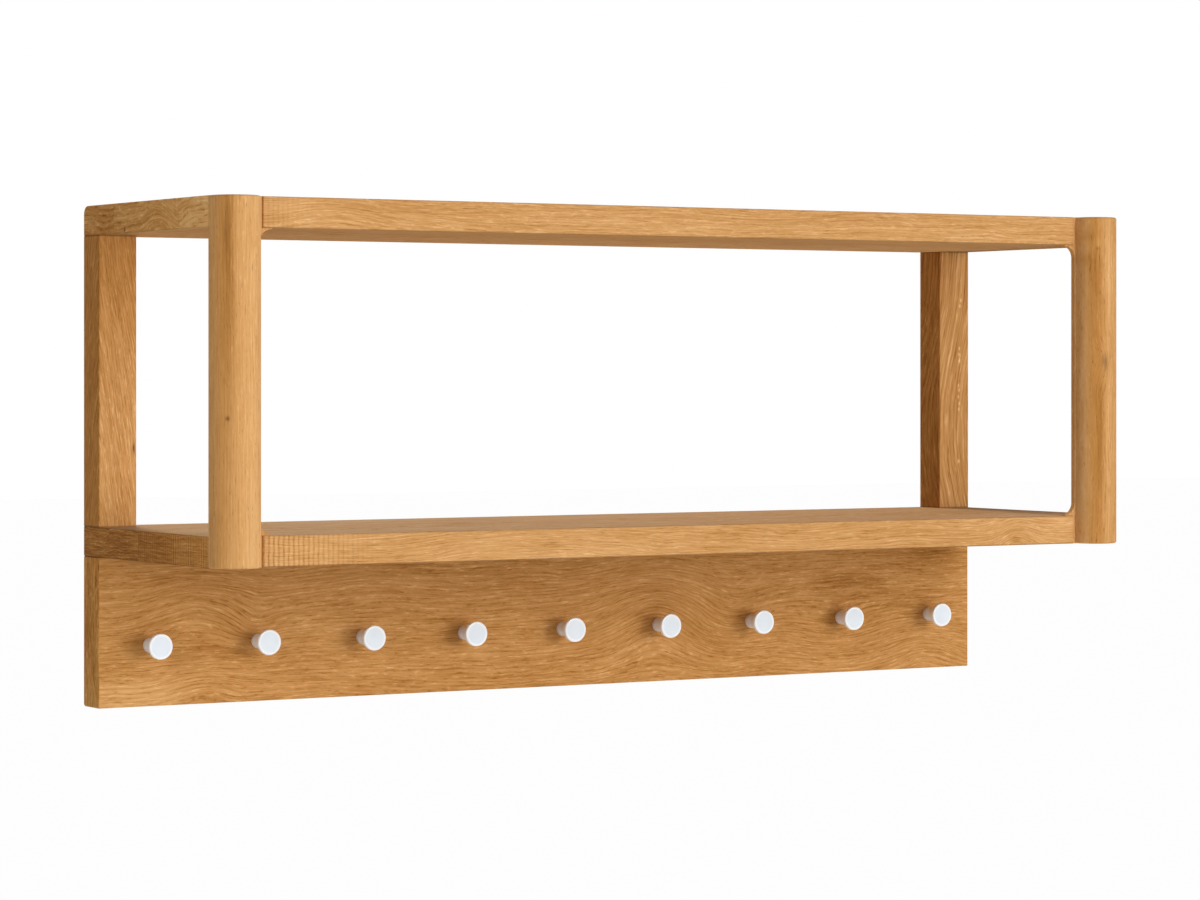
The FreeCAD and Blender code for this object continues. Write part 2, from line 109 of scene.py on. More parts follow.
class Value:
    """A number that varies over a surface. Arithmetic on it adds Math nodes."""

    def __init__(self, shader: "Shader", socket: Socket) -> None:
        """Keep the shader and the socket that gives the number."""
        self.shader = shader
        self.socket = socket

    def math(self, operation: str, *others: Number) -> "Value":
        """Add one Math node with this value as its first input.

        Args:
            operation: The Math node's operation.
            *others: The inputs that follow.

        Returns:
            The node's result.
        """
        inputs = dict(enumerate((self, *others)))
        return self.shader.value("Math", {"operation": operation}, inputs)

    def reflected(self, operation: str, first: float) -> "Value":
        """Add one Math node with a plain number as its first input."""
        inputs = {0: first, 1: self}
        return self.shader.value("Math", {"operation": operation}, inputs)

    def __add__(self, other: Number) -> "Value":
        """Sum."""
        return self.math("ADD", other)

    __radd__ = __add__

    def __sub__(self, other: Number) -> "Value":
        """Difference."""
        return self.math("SUBTRACT", other)

    def __rsub__(self, other: float) -> "Value":
        """Difference from a plain number."""
        return self.reflected("SUBTRACT", other)

    def __mul__(self, other: Number) -> "Value":
        """Product."""
        return self.math("MULTIPLY", other)

    __rmul__ = __mul__

    def __truediv__(self, other: Number) -> "Value":
        """Quotient."""
        return self.math("DIVIDE", other)

    def __rtruediv__(self, other: float) -> "Value":
        """A plain number divided by this value."""
        return self.reflected("DIVIDE", other)

    def __neg__(self) -> "Value":
        """The value with its sign turned."""
        return self.math("MULTIPLY", -1.0)

    def __pow__(self, power: float) -> "Value":
        """A power of the value."""
        return self.math("POWER", power)

    def __abs__(self) -> "Value":
        """The value without its sign."""
        return self.math("ABSOLUTE")

    def fraction(self) -> "Value":
        """What is left above the whole number."""
        return self.math("FRACT")

    def whole(self) -> "Value":
        """The whole number below the value."""
        return self.math("FLOOR")

    def step(self, edge: float) -> "Value":
        """One above the edge and zero below it."""
        return self.math("GREATER_THAN", edge)

    def smooth(self, low: float, high: float) -> "Value":
        """A soft step from zero at low to one at high.

        Args:
            low: Where the step starts.
            high: Where it ends, which may lie below low.

        Returns:
            The step, always from zero to one.
        """
        settings = {"interpolation_type": "SMOOTHSTEP"}
        inputs = {"Value": self, "From Min": low, "From Max": high}
        return self.shader.value("MapRange", settings, inputs)


class Shader:
    """The nodes of one material or world, and the calls that add them."""

    def __init__(self, owner: Union[Material, bpy.types.World]) -> None:
        """Start with an empty node tree.

        Args:
            owner: The material or world that the nodes belong to.
        """
        self.owner = owner
        owner.use_nodes = True
        self.tree = owner.node_tree
        self.tree.nodes.clear()

    @classmethod
    def named(cls, name: str) -> "Shader":
        """Start the shader of a new material."""
        return cls(bpy.data.materials.new(name))

    def node(self, kind: str, settings: Settings, inputs: Inputs) -> bpy.types.Node:
        """Add a node, set it up, then fill its sockets.

        Args:
            kind: The node's type without its prefix.
            settings: Properties by name; "stops" fills a colour ramp.
            inputs: Values, sockets or plain numbers by socket name or place.

        Returns:
            The new node.
        """
        made = self.tree.nodes.new(PREFIX + kind)
        for name, item in settings.items():
            if name == "stops":
                self.fill_ramp(made.color_ramp, item)
            else:
                setattr(made, name, item)
        for key, item in inputs.items():
            target = made.inputs[key]
            if isinstance(item, Value):
                item = item.socket
            if isinstance(item, Socket):
                self.tree.links.new(item, target)
            else:
                target.default_value = item
        return made

    @staticmethod
    def fill_ramp(ramp: bpy.types.ColorRamp, stops: Stops) -> None:
        """Give a ramp its stops, from low to high.

        Args:
            ramp: The ramp.
            stops: Places and colours.
        """
        while len(ramp.elements) < len(stops):
            ramp.elements.new(0.5)
        for element, (place, colour) in zip(ramp.elements, stops):
            element.position = place
            element.color = (*colour, 1.0)

    def value(self, kind: str, settings: Settings, inputs: Inputs) -> Value:
        """Add a node and read its first output."""
        return Value(self, self.node(kind, settings, inputs).outputs[0])

    def place(self) -> Tuple[Value, Value, Value]:
        """The surface point in the part's frame, in millimetres.

        Returns:
            Its three coordinates.
        """
        spot = self.node("TexCoord", {}, {}).outputs["Object"]
        scaled = self.node("VectorMath", {"operation": "SCALE"},
                           {0: spot, "Scale": 1.0 / MM}).outputs[0]
        split = self.node("SeparateXYZ", {}, {0: scaled})
        return tuple(Value(self, one) for one in split.outputs)

    def noise(self, layer: Layer, *parts: Number) -> Value:
        """Smooth noise about zero.

        Args:
            layer: The size and detail of its features.
            *parts: The point, as two or three coordinates.

        Returns:
            Noise from about -0.5 to 0.5.
        """
        spread = [part if size == 1.0 else part / size
                  for part, size in zip(parts, layer.sizes)]
        point = dict(enumerate((*spread, layer.level)[:3]))
        vector = self.node("CombineXYZ", {}, point).outputs[0]
        inputs = {"Vector": vector, "Scale": 1.0, "Detail": layer.detail,
                  "Roughness": layer.roughness}
        return self.value("TexNoise", {"noise_dimensions": "3D"}, inputs) - 0.5

    def ramp(self, factor: Value, stops: Stops) -> Socket:
        """A colour that follows a factor.

        Args:
            factor: Zero to one.
            stops: Places and colours.

        Returns:
            The colour.
        """
        made = self.node("ValToRGB", {"stops": stops}, {0: factor})
        made.color_ramp.interpolation = "B_SPLINE" if len(stops) > 2 else "LINEAR"
        return made.outputs[0]

    def mix(self, factor: Number, first: Any, second: Any,
            blend: str = "MIX") -> Socket:
        """Blend two colours.

        Args:
            factor: Zero gives the first and one the second.
            first: A colour or a colour socket.
            second: A colour or a colour socket.
            blend: The way they are blended.

        Returns:
            The blended colour.
        """
        colours = [(*one, 1.0) if isinstance(one, tuple) else one for one in (first, second)]
        made = self.node("Mix", {"data_type": "RGBA", "blend_type": blend},
                         {"Factor": factor, 6: colours[0], 7: colours[1]})
        return made.outputs[2]

    def bump(self, height: Value) -> Socket:
        """A bumpy normal from a height in millimetres."""
        inputs = {"Strength": 1.0, "Distance": MM, "Height": height}
        return self.node("Bump", {}, inputs).outputs[0]

    def finish(self, plain: Inputs, varying: Inputs) -> Material:
        """Close the material with one principled shader.

        Args:
            plain: Constants for the shader's own sockets.
            varying: Values and sockets for Base Color, Roughness and Normal.

        Returns:
            The material.
        """
        surface = self.node("BsdfPrincipled", {}, {**plain, **varying})
        self.node("OutputMaterial", {}, {"Surface": surface.outputs[0]})
        return self.owner


# Wood


class Axis(IntEnum):
    """The axes of the part's frame, as places in a point."""

    X = 0
    Y = 1
    Z = 2


class Grain(Enum):
    """How a piece was cut: the axis along the trunk, across its face, and through it."""

    BOARD = (Axis.X, Axis.Y, Axis.Z)
    RAIL = (Axis.X, Axis.Z, Axis.Y)
    POST = (Axis.Z, Axis.X, Axis.Y)


@dataclass(frozen=True)
class Blob:
    """A soft round region in the wood, in the part's frame and in millimetres.

    Args:
        at: Its middle.
        reach: How far it reaches along each axis; zero means all the way, wherever it is.
        amount: Its effect in the middle.
    """

    at: Triple
    reach: Triple
    amount: float


@dataclass(frozen=True)
class SawMarks:
    """Fine ridges that a saw left across the grain, in millimetres.

    Args:
        axis: The axis along which the ridges follow each other.
        start: Where they are strongest.
        end: Where they have faded.
        pitch: Distance between ridges.
        strength: How clear they are.
        face_axis: The axis of the face that shows them.
        face: Where that face lies.
    """

    axis: Axis
    start: float
    end: float
    pitch: float
    strength: float
    face_axis: Axis
    face: float

# Colours of the oak, from the darkest streaks to the lightest
OAK_STOPS: Stops = (
    (0.0, linear(108, 63, 16)),
    (0.3, linear(170, 116, 55)),
    (0.55, linear(208, 156, 98)),
    (0.78, linear(227, 183, 131)),
    (1.0, linear(244, 214, 172)),
)
PORE_BROWN = linear(122, 72, 26)
KNOT_BROWN = linear(66, 34, 12)
JOINT_BROWN = linear(84, 48, 16)
OIL_AND_SHADE_TINT: Colour = (1.0, 0.86, 0.55)

# Layers of the figure, sized along the trunk, across the rings and through the piece
SLOW_WAVES = Layer((190, 80, 60), detail=1)
QUICK_WAVES = Layer((42, 24, 24))
CLOUDS = Layer((130, 9, 40))
BANDS = Layer((90, 1.5, 16), detail=3)
FIBRES = Layer((34, 0.5, 6), detail=4, roughness=0.7)
DASHES = Layer((11, 0.5, 3), detail=2, roughness=0.6)
PORES = Layer((7, 0.35, 1.6), detail=1)
RING_DRIFT = Layer((5, 400), level=3)
EARLY_WOOD = Layer((1, 120), level=9)
RAY_SPECKS = Layer((6.5, 9, 1.5), detail=1.5)
RAY_PATCHES = Layer((70, 14), level=2)
SAW_WANDER = Layer((9, 12), level=4)
SAW_PATCHES = Layer((4, 6, 12))

# Where thin lines start and are full, in millimetres from their middle
GLUE_LINE, SEAM_LINE, FACE_BAND, CAP_DEPTH = (0.45, 0.1), (1.5, 0.2), (1.2, 0.4), 0.7

# How much each layer counts in the oak's tone, and in its colour
MEAN_TONE, CLOUD_TONE, BAND_TONE, FIBRE_TONE = 0.52, 0.19, 0.25, 0.78
LIGHT_TONE, DARK_TONE, EARLY_TONE = 0.18, 0.15, 0.14
FLECK_TONE, SAW_TONE, STAVE_TONE = 0.3, 0.2, 0.02
END_CONTRAST, SAWN_CALM, PAINTED_DEEP_CALM = 0.5, 0.5, 0.35
PORE_SHARE, JOINT_SHARE, END_OIL = 0.55, 0.35, 0.8

# Relief in millimetres, and roughness
STREAK_RISE, PORE_DEPTH, SAW_RISE, JOINT_DEPTH = 0.05, 0.07, 0.1, 0.05
OAK_ROUGH, PORE_ROUGH, STREAK_GLOSS = 0.56, 0.2, 0.12

# Moves of the figure in millimetres, from stave to stave and from seed to seed
STAVE_SHIFT, STAVE_ASIDE, SEED_SHIFT = 217, 30, 71


@dataclass(frozen=True)
class OakFinish:
    """Oiled oak cut from one trunk or glued from staves.

    The growth rings are cylinders about a pith line. A point's ring number is its
    distance from that line, moved by the figure of the wood, over the ring width.
    Streaks and pores follow that number, so that they bend together.

    Args:
        name: The material's name.
        grain: How the piece was cut.
        pith: Where the pith lies, across and through.
        ring: Mean ring width.
        seed: Moves the random parts.
        figure: How far the slow waves move the lines.
        tone: Added to the brightness.
        slant: How far the lines move per length along the grain.
        swells: Places where the lines move away from the pith.
        tints_and_painted_light: Wood tone, and painted light and shade.
        spots: Small knots and checks.
        staves: Glue joints across the face.
        saw: Saw marks.
        flecks: How clear the light ray flecks are.
        contrast: Strength of all streaks.
        end: Where end grain begins; None for hidden ends.
        end_tone: Added to its brightness.
        seams: Heights of joints with other pieces.
        dry: Rougher regions with little oil.
        oil: How far the oil has deepened the colour.
        deep: Painted shade and warm light: regions with deeper, more saturated colour.
        stretch: How many times longer the streaks are.
    """

    name: str
    grain: Grain
    pith: Pair
    ring: float
    seed: float
    figure: float
    tone: float = 0.0
    slant: float = 0.0
    swells: Tuple[Blob, ...] = ()
    tints_and_painted_light: Tuple[Blob, ...] = ()
    spots: Tuple[Blob, ...] = ()
    staves: Tuple[float, ...] = ()
    saw: Tuple[SawMarks, ...] = ()
    flecks: float = 0.0
    contrast: float = 1.0
    end: Optional[float] = None
    end_tone: float = 0.0
    seams: Tuple[float, ...] = ()
    dry: Tuple[Blob, ...] = ()
    oil: float = 0.34
    deep: Tuple[Blob, ...] = ()
    stretch: float = 1.0

    def build(self) -> Material:
        """Make the material.

        Returns:
            The finished oak.
        """
        shader = Shader.named(self.name)
        place = shader.place()
        solid = [place[axis] for axis in self.grain.value]
        cap = self.cap(solid[0])
        along, across, through = self.turn_at_cap(cap, solid)
        joint, stave = self.joints(solid[1])
        trunk = along + stave * STAVE_SHIFT + self.seed * SEED_SHIFT
        rings = self.ring_number(shader, place, (along, across, through), trunk, stave)
        streaks, pores = self.streaks(shader, trunk, rings, through)
        marks, sawn = self.saw_marks(shader, place)
        fleck = self.ray_flecks(shader, trunk, across, through)
        # Painted shade: the deep regions darken and saturate the colour and calm the streaks.
        painted_deepening = self.blobs(place, self.deep)
        streaks = streaks * (cap * END_CONTRAST + self.contrast) * (1.0 - sawn * SAWN_CALM)
        streaks = streaks * (1.0 - painted_deepening * PAINTED_DEEP_CALM)
        # The tints add the wood's tone and painted light and shade.
        tone = streaks + fleck * FLECK_TONE + marks * SAW_TONE + self.blobs(place, self.tints_and_painted_light)
        tone = tone + cap * self.end_tone + (MEAN_TONE + self.tone)
        if self.staves:
            tone = tone + (stave * 2.3 + self.seed).math("SINE") * STAVE_TONE
        colour = shader.ramp(tone, OAK_STOPS)
        colour = shader.mix(pores * PORE_SHARE, colour, PORE_BROWN)
        colour = shader.mix(self.blobs(place, self.spots), colour, KNOT_BROWN)
        colour = shader.mix(joint * JOINT_SHARE + self.seam(place), colour, JOINT_BROWN)
        # Oil, end grain and painted shade deepen the colour.
        oil_and_painted_shade = cap * END_OIL + painted_deepening + self.oil
        colour = shader.mix(oil_and_painted_shade, colour, OIL_AND_SHADE_TINT, "MULTIPLY")
        height = streaks * STREAK_RISE - pores * PORE_DEPTH + marks * SAW_RISE
        rough = pores * PORE_ROUGH - streaks * STREAK_GLOSS + self.blobs(place, self.dry)
        return shader.finish(
            {"IOR": 1.45, "Specular IOR Level": 0.06},
            {"Base Color": colour, "Roughness": rough + OAK_ROUGH,
             "Normal": shader.bump(height - joint * JOINT_DEPTH)},
        )

    def cap(self, along: Value) -> Value:
        """One on the end faces and zero elsewhere."""
        return abs(along).step(self.end - CAP_DEPTH) if self.end else along * 0.0

    @staticmethod
    def turn_at_cap(cap: Value, solid: Sequence[Value]) -> List[Value]:
        """Let the figure of an end face run across the board.

        Args:
            cap: One on the end faces.
            solid: Place along, across and through the piece.

        Returns:
            The same three places, exchanged on the end faces.
        """
        along, across, through = solid
        turned = (across * 1.4, through, along)
        return [place + (other - place) * cap for place, other in zip(solid, turned)]

    def seam(self, place: Sequence[Value]) -> Number:
        """Thin dark lines at the heights where this piece meets others.

        Args:
            place: The point in the part's frame.

        Returns:
            Their share in the colour.
        """
        total: Number = 0.0
        for height in self.seams:
            total = abs(place[Axis.Z] - height).smooth(*SEAM_LINE) * 0.5 + total
        return total

    @staticmethod
    def blobs(place: Sequence[Value], items: Sequence[Blob]) -> Number:
        """Sum of soft regions: amount times the exponential of minus squared distance.

        Args:
            place: The point in the part's frame.
            items: The regions.

        Returns:
            The sum.
        """
        total: Number = 0.0
        for one in items:
            parts = [((place[axis] - one.at[axis]) / one.reach[axis]) ** 2.0
                     for axis in Axis if one.reach[axis]]
            far = sum(parts[1:], parts[0])
            total = (-far).math("EXPONENT") * one.amount + total
        return total

    def joints(self, across: Value) -> Tuple[Value, Value]:
        """Glue joints between the staves of a board.

        Args:
            across: Place across the face.

        Returns:
            A thin line at each joint, and each stave's number.
        """
        line, number = across * 0.0, across * 0.0
        for edge in self.staves:
            line = line + abs(across - edge).smooth(*GLUE_LINE)
            number = number + across.step(edge)
        return line, number

    def ring_number(self, shader: Shader, place: Sequence[Value], figured: Sequence[Value],
                    trunk: Value, stave: Value) -> Value:
        """Distance from the pith, moved by the figure, over the ring width.

        The figure is slow and quick waves, a slant along the grain and the swells.

        Args:
            shader: The material in the making.
            place: The point in the part's frame.
            figured: Place along, across and through the trunk.
            trunk: Place along the trunk, moved for each stave.
            stave: The stave's number.

        Returns:
            The ring number, with uneven rings.
        """
        along, across, through = figured
        aside = across - self.pith[0] + (stave * 1.7).math("SINE") * STAVE_ASIDE
        deep = through - self.pith[1]
        far = (aside ** 2.0 + deep ** 2.0) ** 0.5
        slow = shader.noise(SLOW_WAVES, trunk, across, through) * self.figure
        quick = shader.noise(QUICK_WAVES, trunk, across, through)
        far = far + slow + quick * (self.figure * 0.3) + along * self.slant
        number = (far - self.blobs(place, self.swells)) / self.ring
        return number + shader.noise(RING_DRIFT, number, trunk) * 2.0

    def streaks(self, shader: Shader, trunk: Value, rings: Value,
                through: Value) -> Tuple[Value, Value]:
        """Clouds, ring bands and fibres, and the open pores of each ring's early wood.

        Args:
            shader: The material in the making.
            trunk: Place along the trunk.
            rings: Ring number.
            through: Place through the piece.

        Returns:
            The streaks about zero, and the pores from zero to one.
        """
        place = (trunk / self.stretch, rings, through)
        clouds, bands, fibres, dashes, pores = (
            shader.noise(layer, *place) for layer in (CLOUDS, BANDS, FIBRES, DASHES, PORES))
        early = rings.fraction().smooth(0.4, 0.0)
        vary = shader.noise(EARLY_WOOD, rings.whole() * 3.7, place[0]) + 0.55
        tone = clouds * CLOUD_TONE + bands * BAND_TONE + fibres * FIBRE_TONE
        tone = tone + dashes.smooth(0.07, 0.2) * LIGHT_TONE
        tone = tone - dashes.smooth(-0.08, -0.2) * DARK_TONE
        return tone - early * vary * EARLY_TONE, pores.smooth(0.08, 0.24) * early

    def saw_marks(self, shader: Shader, place: Sequence[Value]) -> Tuple[Value, Value]:
        """Ridges left by the saw.

        A ridge is a level minus a power of a raised sine along the row, made patchy by
        noise, which leaves narrow grooves.

        Args:
            shader: The material in the making.
            place: The point in the part's frame.

        Returns:
            The ridges about zero, and how far the saw has covered the grain.
        """
        total, sawn = place[Axis.X] * 0.0, place[Axis.X] * 0.0
        for one in self.saw:
            row = place[one.axis]
            wander = shader.noise(SAW_WANDER, row, place[Axis.Z]) * 2.2
            wave = ((row + wander) * (FULL_TURN / one.pitch)).math("SINE")
            wave = 0.45 - (wave * 0.5 + 0.5) ** 2.5 * 1.6
            fade = row.smooth(one.end, one.start)
            on_face = abs(place[one.face_axis] - one.face).smooth(*FACE_BAND)
            patchy = shader.noise(SAW_PATCHES, row, place[Axis.Z], place[Axis.Y]) * 2.2 + 0.8
            cover = fade * on_face * one.strength
            total = total + wave * patchy * cover
            sawn = sawn + cover
        return total, sawn

    def ray_flecks(self, shader: Shader, trunk: Value, across: Value,
                   through: Value) -> Value:
        """Short light flecks where the face runs along the rays, a little aslant.

        Args:
            shader: The material in the making.
            trunk: Place along the trunk.
            across: Place across the face.
            through: Place through the piece.

        Returns:
            The flecks from zero to one.
        """
        if not self.flecks:
            return trunk * 0.0
        speck = shader.noise(RAY_SPECKS, trunk, across, through + trunk * 0.08)
        patch = shader.noise(RAY_PATCHES, trunk, through) + 0.45
        return speck.smooth(0.06, 0.2) * patch * self.flecks


# Other finishes

PEG_WHITE = linear(246, 247, 248)
PAINT_CLOUDS = Layer((9, 9, 9))
PAINT_PEEL = Layer((0.8, 0.8, 0.8), detail=1)
TURNING_LINES = Layer((0.7, 0.5), detail=1, level=1)

BEECH_STOPS: Stops = ((0.2, linear(178, 134, 92)), (0.8, linear(222, 184, 142)))
BEECH_DARK = linear(140, 92, 56)
BEECH_FIBRES = Layer((0.6, 0.6, 9), detail=3)
BEECH_FLECKS = Layer((0.5, 0.5, 2.4), detail=1)

ZINC_STOPS: Stops = ((0.25, linear(158, 164, 172)), (0.75, linear(206, 208, 208)))
ZINC_CLOUDS = Layer((5, 5, 5), detail=3)
ZINC_SCRATCHES = Layer((0.25, 0.25, 14), detail=2)


@dataclass(frozen=True)
class PaintFinish:
    """White satin paint on turned pegs, with painted shade that leaves their flat faces a
    little cooler and greyer.

    Args:
        name: The material's name.
        face: Where the faces lie, in millimetres.
        height: Height of the peg axes.
        pitch: Distance between pegs, one of which stands at zero.
        face_radius: Radius of the flat face.
        colour: The paint.
        painted_face_shade: Painted shade on the faces: what they keep of the colour, per
            channel.
        thin_shade: What its thinner places keep of it.
        rough: Mean roughness.
    """

    name: str
    face: float
    height: float
    pitch: float
    face_radius: float
    colour: Colour = PEG_WHITE
    painted_face_shade: Colour = (0.81, 0.88, 0.94)
    thin_shade: float = 0.95
    rough: float = 0.36

    def build(self) -> Material:
        """Make the material.

        Returns:
            The finished paint.
        """
        shader = Shader.named(self.name)
        x, y, z = shader.place()
        aside = ((x / self.pitch + 0.5).fraction() - 0.5) * self.pitch
        far = (aside ** 2.0 + (z - self.height) ** 2.0) ** 0.5
        cloud = shader.noise(PAINT_CLOUDS, x, y, z)
        turned = shader.noise(TURNING_LINES, far, y)
        peel = shader.noise(PAINT_PEEL, x, y, z)
        flat = far.smooth(self.face_radius + 0.5, self.face_radius - 0.7)
        flat = flat * (-y).step(-self.face - 0.4)
        thin = tuple(part * self.thin_shade for part in self.colour)
        thinned = (cloud + 0.5).smooth(0.3, 0.8) * 0.5
        colour = shader.mix(thinned, self.colour, thin)
        # Painted shade: the flat faces darker and cooler than the rims.
        colour = shader.mix(flat, colour, self.painted_face_shade, "MULTIPLY")
        return shader.finish(
            {"IOR": 1.5, "Specular IOR Level": 0.4},
            {"Base Color": colour, "Roughness": self.rough + cloud * 0.12,
             "Normal": shader.bump(turned * 0.012 + peel * 0.01)},
        )


@dataclass(frozen=True)
class BeechFinish:
    """Raw beech of the dowels, with short dark flecks.

    Args:
        name: The material's name.
        rough: Mean roughness.
    """

    name: str
    rough: float = 0.62

    def build(self) -> Material:
        """Make the material.

        Returns:
            The finished beech.
        """
        shader = Shader.named(self.name)
        place = shader.place()
        fibres = shader.noise(BEECH_FIBRES, *place)
        fleck = shader.noise(BEECH_FLECKS, *place).smooth(0.12, 0.24) * 0.6
        colour = shader.mix(fleck, shader.ramp(fibres + 0.5, BEECH_STOPS), BEECH_DARK)
        return shader.finish(
            {"IOR": 1.45},
            {"Base Color": colour, "Roughness": self.rough + fibres * 0.2,
             "Normal": shader.bump(fibres * 0.04)},
        )


@dataclass(frozen=True)
class ZincFinish:
    """Zinc plated steel of the screws and hanger plates, cloudy and finely scratched.

    Args:
        name: The material's name.
        rough: Mean roughness.
    """

    name: str
    rough: float = 0.36

    def build(self) -> Material:
        """Make the material.

        Returns:
            The finished zinc.
        """
        shader = Shader.named(self.name)
        place = shader.place()
        cloud = shader.noise(ZINC_CLOUDS, *place)
        scratch = shader.noise(ZINC_SCRATCHES, *place)
        return shader.finish(
            {"Metallic": 1.0},
            {"Base Color": shader.ramp(cloud + 0.5, ZINC_STOPS),
             "Roughness": self.rough + cloud * 0.25 + scratch * 0.1,
             "Normal": shader.bump(scratch * 0.01)},
        )


# Pieces


def dress(names: Sequence[str], material: Material) -> None:
    """Give solid nodes their finish.

    Args:
        names: Node names.
        material: The finish, for every slot of each node.
    """
    for name in names:
        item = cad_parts[name]
        for slot in item.material_slots:
            slot.material = material
        LOG.info("%s wears %s", name, material.name)


def new_piece(name: str, points: np.ndarray, faces: Faces,
              material: Material) -> bpy.types.Object:
    """Make a smooth-shaded object from points and faces.

    Args:
        name: The piece's name.
        points: Its points in metres, one row each.
        faces: Its faces as tuples of point numbers.
        material: Its finish.

    Returns:
        The object, linked to the scene.
    """
    mesh = bpy.data.meshes.new(name)
    mesh.from_pydata(points, [], faces)
    mesh.polygons.foreach_set("use_smooth", np.ones(len(mesh.polygons), bool))
    mesh.materials.append(material)
    mesh.update()
    item = bpy.data.objects.new(name, mesh)
    bpy.context.scene.collection.objects.link(item)
    LOG.info("%s has %d points and %d faces", name, len(mesh.vertices), len(mesh.polygons))
    return item


def turned_form(half: np.ndarray, around: int) -> Tuple[np.ndarray, Faces]:
    """Turn a half section about its axis.

    A point is its radius times the angle's cosine and sine, at its distance. The section
    starts and ends on the axis, where fans of triangles close it.

    Args:
        half: Rows of radius and distance.
        around: Number of faces round the axis.

    Returns:
        Rows of cosine part, distance and sine part, and the faces.
    """
    inner, rows = half[1:-1], len(half) - 2
    angle = np.arange(around) * (FULL_TURN / around)
    ring = np.empty((rows, around, 3))
    ring[..., 0] = inner[:, :1] * np.cos(angle)
    ring[..., 1] = inner[:, 1:]
    ring[..., 2] = inner[:, :1] * np.sin(angle)
    poles = np.array([(0.0, half[0, 1], 0.0), (0.0, half[-1, 1], 0.0)])
    row, column = np.meshgrid(np.arange(rows - 1), np.arange(around), indexing="ij")
    following = (column + 1) % around
    quads = np.stack((
        row * around + column, (row + 1) * around + column,
        (row + 1) * around + following, row * around + following,
    ), -1).reshape(-1, 4)
    first = np.arange(around)
    beside, last = (first + 1) % around, (rows - 1) * around
    start_fan = np.column_stack((np.full_like(first, rows * around), first, beside))
    end_pole = np.full_like(first, rows * around + 1)
    end_fan = np.column_stack((last + beside, last + first, end_pole))
    faces = [tuple(one) for group in (quads, start_fan, end_fan) for one in group.tolist()]
    return np.vstack((ring.reshape(-1, 3), poles)), faces


@dataclass
class Boards:
    """The top board and the lower shelf, glued up from staves, sizes in millimetres.

    Args:
        half_length: Half the boards' length.
        front: Where their front edges lie.
        top_under: Height of the top board's underside.
        shelf_top: Height of the shelf's upper face.
        shelf_under: Height of its underside.
    """

    half_length: float = 500.0
    front: float = -275.0
    top_under: float = 45.0
    shelf_top: float = -225.0
    shelf_under: float = -253.0

    def build(self) -> None:
        """Dress both boards."""
        left, front = -self.half_length, self.front
        top = OakFinish(
            "oak_top_board", Grain.BOARD, pith=(-120, -240), ring=2.8, seed=3,
            figure=14, staves=(-68, -143, -206), flecks=0.5, end=self.half_length,
            end_tone=-0.02, seams=(self.top_under,), tone=-0.03, contrast=0.74, oil=0,
            stretch=1.4,
            tints_and_painted_light=(
                # Painted light: the left end lighter towards the front.
                Blob((left, -266, 0), (6, 100, 0), 0.32),
                Blob((left, -40, 0), (6, 50, 0), 0.08),
                Blob((-425, front, 62), (40, 3, 9), 0.06),
                Blob((-330, front, 68), (60, 3, 5), -0.07),
                # Painted light: the underside lighter.
                Blob((0, 0, self.top_under), (0, 0, 0.6), 0.2),
            ),
            # Painted light: the underside deeper and more saturated in colour.
            deep=(Blob((0, 0, self.top_under), (0, 0, 0.6), 0.4),),
            dry=(Blob((0, 0, self.top_under), (0, 0, 0.6), 0.44),),
            swells=(
                Blob((-385, 0, 52), (46, 0, 26), 9),
                Blob((90, 0, 74), (90, 0, 20), -9),
                Blob((left, -165, 0), (20, 30, 0), 5),
                Blob((left, -205, 0), (20, 18, 0), -4),
            ),
            spots=(Blob((left, -92, 48), (4, 1.6, 2.6), 0.9),),
            saw=(SawMarks(Axis.X, -446, -380, 4.8, 0.2, Axis.Y, front),),
        )
        shelf = OakFinish(
            "oak_lower_shelf", Grain.BOARD, pith=(-160, -520), ring=2.8, seed=8,
            figure=15, staves=(-58, -122, -196), flecks=0.15, end=self.half_length,
            end_tone=-0.19, seams=(self.shelf_top, self.shelf_under), tone=-0.045,
            contrast=0.8, oil=0, stretch=1.4,
            tints_and_painted_light=(
                # Painted light: the left end lighter towards the front.
                Blob((left, -270, 0), (6, 90, 0), 0.14),
                Blob((left, -86, -241), (6, 24, 9), -0.08),
                Blob((left, -28, -236), (6, 24, 7), 0.08),
                Blob((left, -131, 0), (6, 1.5, 0), 0.05),
                Blob((-30, front, -236), (60, 3, 9), -0.02),
                Blob((379, front, -247), (8, 3, 4), -0.15),
                Blob((436, front, -232), (24, 3, 6), 0.08),
                # Painted light: the shelf's top lighter, more so at the left and less at the
                # right.
                Blob((0, 0, self.shelf_top), (0, 0, 0.6), 0.32),
                Blob((-380, 0, self.shelf_top), (200, 0, 0.6), 0.05),
                Blob((360, 0, self.shelf_top), (240, 0, 0.6), -0.08),
            ),
            dry=(Blob((0, 0, self.shelf_top), (0, 0, 0.6), 0.2),),
            swells=(
                Blob((-190, 0, -245), (120, 0, 22), 8),
                Blob((130, 0, -232), (80, 0, 22), -8),
                Blob((379, 0, -252), (22, 0, 26), 13),
            ),
            saw=(
                SawMarks(Axis.X, -450, -316, 4.9, 0.8, Axis.Y, front),
                SawMarks(Axis.Y, -133, -96, 4.4, 0.4, Axis.X, left),
                SawMarks(Axis.Y, -197, -172, 5.2, 0.35, Axis.X, left),
            ),
        )
        dress(("top_board",), top.build())
        dress(("lower_shelf",), shelf.build())


